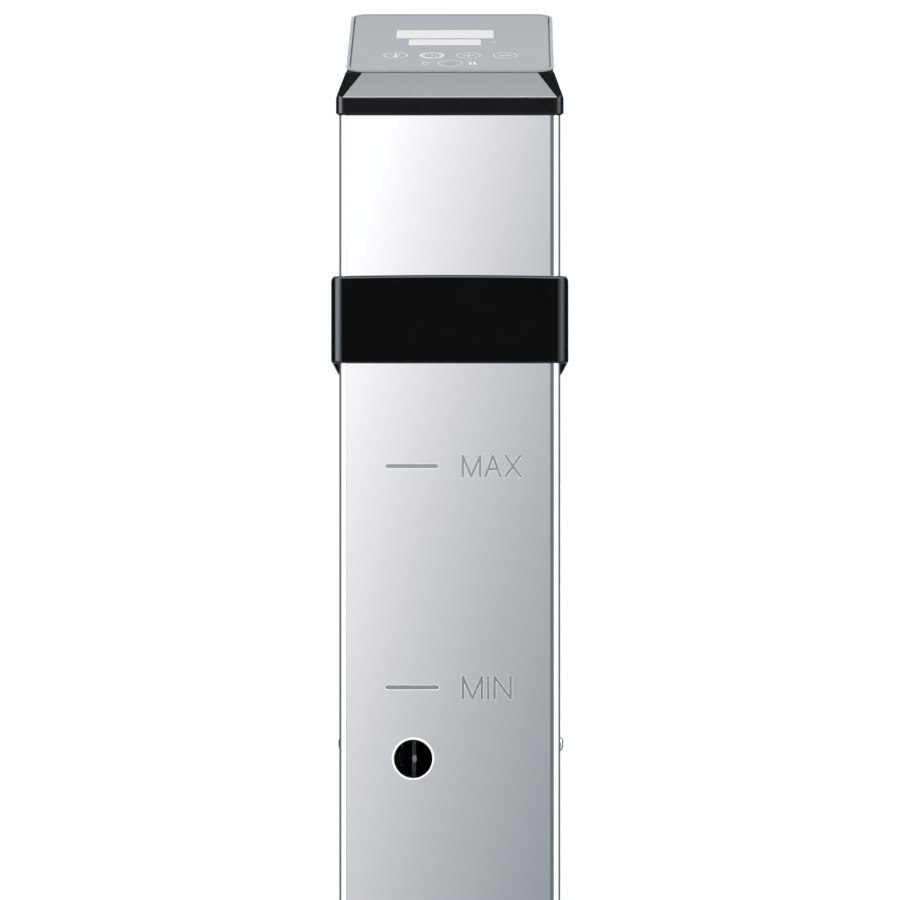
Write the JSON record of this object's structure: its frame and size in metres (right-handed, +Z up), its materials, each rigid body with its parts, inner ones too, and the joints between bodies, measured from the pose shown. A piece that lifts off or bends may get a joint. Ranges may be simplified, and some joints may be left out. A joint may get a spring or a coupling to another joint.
{
  "type": "sous vide circulator",
  "caption": "Tall rectangular steel immersion circulator with a black collar, a screw clamp at the back, a tilted touch panel on a black head, and a round water outlet low in front.",
  "frame": {"origin": "middle of the flat base, on its underside", "axes": "+Z up along the column, -Y towards the front with the water outlet, +X to the right of someone facing the front"},
  "size_m": [0.0938, 0.177, 0.3598],
  "materials": {
    "satin_steel": "satin",
    "structural_steel": "mill",
    "bright_steel": "polished",
    "gloss_black_plastic": "gloss",
    "black_plastic": "satin",
    "black_rubber": "matte",
    "grey_panel": "satin",
    "silver_trim": "satin",
    "display_lens": "satin",
    "circuit_board": "satin",
    "brass": "machined",
    "white_plastic": "satin",
    "copper": "wound",
    "aluminium": "extruded"
  },
  "bodies": {
    "circulator": {"base_grille": "satin_steel", "beeper": "black_plastic", "bulkhead": "black_plastic", "bulkhead_gasket": "black_rubber", "cable_gland": "black_plastic", "cable_gland_nut": "black_plastic", "capacitor": "copper", "clamp_collar": "gloss_black_plastic", "clamp_frame": "black_plastic", "clamp_frame_screw_left": "bright_steel", "clamp_frame_screw_right": "bright_steel", "control_panel": "grey_panel", "display_module": "black_plastic", "electrode_block": "white_plastic", "front_inlay": "grey_panel", "head_floor": "black_plastic", "head_housing": "black_plastic", "head_screw_1": "bright_steel", "head_screw_2": "bright_steel", "heater_gland_left": "brass", "heater_gland_right": "brass", "heating_element": "bright_steel", "jaw_pad": "black_rubber", "level_electrode_long": "bright_steel", "level_electrode_short": "bright_steel", "lower_bearing": "brass", "lower_skirt": "satin_steel", "motor_can": "structural_steel", "motor_plate": "structural_steel", "motor_stator": "copper", "outlet_nozzle": "black_plastic", "outlet_ring": "bright_steel", "panel_bezel": "silver_trim", "power_board": "circuit_board", "probe_gland": "brass", "pump_column": "structural_steel", "pump_cover": "black_plastic", "pump_housing": "black_plastic", "shaft_seal": "black_rubber", "side_screw_left": "bright_steel", "side_screw_right": "bright_steel", "skirt_strap": "structural_steel", "temperature_display_window": "display_lens", "temperature_probe": "bright_steel", "terminal_block": "black_plastic", "thread_insert": "brass", "timer_display_window": "display_lens", "touch_board": "circuit_board", "touch_foil": "copper", "triac_heatsink": "aluminium", "upper_sleeve": "satin_steel"},
    "pressure_pad": {"pad_facing": "black_rubber", "pressure_cup": "black_plastic"},
    "clamp_screw": {"clamp_screw": "bright_steel", "clamp_knob": "black_plastic", "knob_cap": "silver_trim"},
    "pump_rotor": {"motor_shaft": "bright_steel", "motor_rotor": "structural_steel", "impeller": "white_plastic", "cooling_fan": "white_plastic"}
  },
  "joints": [
    {"name": "pad_travel", "type": "slide", "parent": "circulator", "child": "pressure_pad", "axis": [0, -1, 0], "range_m": [-0.009, 0.0092]},
    {"name": "screw_turn", "type": "hinge", "parent": "pressure_pad", "child": "clamp_screw", "pos_m": [0, 0.1, 0.186], "axis": [0, 1, 0], "range_deg": [-1625, 1660]},
    {"name": "pump_spin", "type": "hinge", "parent": "circulator", "child": "pump_rotor", "pos_m": [0, -0.008, 0.05], "axis": [0, 0, 1], "continuous": true}
  ],
  "couplings": [
    {"joint": "screw_turn", "follows": "pad_travel", "rad_per_m": 3141.6}
  ]
}
